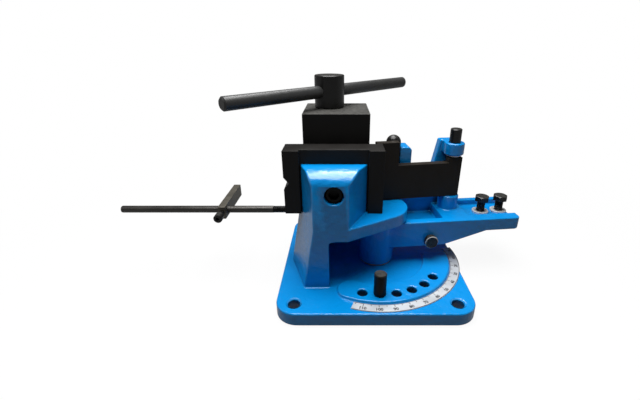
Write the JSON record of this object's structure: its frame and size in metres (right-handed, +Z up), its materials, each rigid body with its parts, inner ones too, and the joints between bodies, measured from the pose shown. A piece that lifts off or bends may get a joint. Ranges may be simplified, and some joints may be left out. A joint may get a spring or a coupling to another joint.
{
  "type": "universal bar bender",
  "caption": "Bench bar bender: cast base and column with a die, eccentric clamp with tee bar, swinging bending arm with blade, angle scale, stop pin and length stop.",
  "frame": {"origin": "middle of the four bench bolt holes, on the underside of the base plate", "axes": "+Z up, +X to the right of the user, +Y away from the user, who stands at the front of the column"},
  "size_m": [0.5718, 0.3195, 0.2726],
  "materials": {
    "blue_paint": "gloss enamel on cast iron",
    "black_steel": "black oxide, satin",
    "zinc_steel": "zinc plated",
    "ground_steel": "ground",
    "bronze": "turned bronze",
    "scale_plate": "printed matt band"
  },
  "bodies": {
    "frame": {"frame_casting": "blue_paint", "angle_scale": "scale_plate", "pivot_pin": "ground_steel", "lower_thrust_washer": "bronze", "upper_thrust_washer": "bronze", "bending_die": "black_steel", "die_screw": "black_steel", "die_dowels": "ground_steel", "stop_rod": "black_steel", "spindle_bush": "bronze"},
    "arm": {"swing_arm": "blue_paint", "stop_bolt": "black_steel", "lever_bolts": "black_steel", "lever_washers": "zinc_steel", "blade_washer": "zinc_steel", "backing_pin": "black_steel"},
    "blade": {"bending_blade": "black_steel"},
    "blade_pin": {"blade_pin": "black_steel"},
    "stop_pin": {"stop_pin": "black_steel"},
    "spindle": {"clamp_spindle": "black_steel"},
    "tee_bar": {"tee_bar": "black_steel"},
    "clamp_block": {"clamp_block": "black_steel"},
    "stop_block": {"stop_block": "black_steel"},
    "lock_screw": {"stop_lock_screw": "black_steel"}
  },
  "joints": [
    {"name": "arm_swing", "type": "hinge", "parent": "frame", "child": "arm", "pos_m": [0.008, 0, 0.05], "axis": [0, 0, -1], "range_deg": [-8, 73]},
    {"name": "blade_turn", "type": "hinge", "parent": "arm", "child": "blade", "pos_m": [0.11874, 0.0404, 0.13], "axis": [0, 0, 1], "range_deg": [0, 1.6]},
    {"name": "blade_pin_lift", "type": "slide", "parent": "arm", "child": "blade_pin", "axis": [0, 0, 1], "range_m": [0, 0.1]},
    {"name": "stop_pin_lift", "type": "slide", "parent": "frame", "child": "stop_pin", "axis": [0, 0, 1], "range_m": [0, 0.03]},
    {"name": "spindle_turn", "type": "hinge", "parent": "frame", "child": "spindle", "pos_m": [-0.06, 0.0693, 0.15], "axis": [0, 0, 1], "continuous": true},
    {"name": "clamp_follow", "type": "hinge", "parent": "spindle", "child": "clamp_block", "pos_m": [-0.06, 0.072, 0.15], "axis": [0, 0, 1], "continuous": true},
    {"name": "tee_bar_slide", "type": "slide", "parent": "spindle", "child": "tee_bar", "axis": [0.7132, 0.7009, 0], "range_m": [-0.12, 0.12]},
    {"name": "stop_block_slide", "type": "slide", "parent": "frame", "child": "stop_block", "axis": [1, 0, 0], "range_m": [-0.138, 0.084]},
    {"name": "lock_screw_turn", "type": "hinge", "parent": "stop_block", "child": "lock_screw", "pos_m": [-0.21, -0.02, 0.096], "axis": [0, -1, 0], "range_deg": [-180, 180]}
  ],
  "couplings": [
    {"joint": "clamp_follow", "follows": "spindle_turn", "ratio": -1}
  ]
}
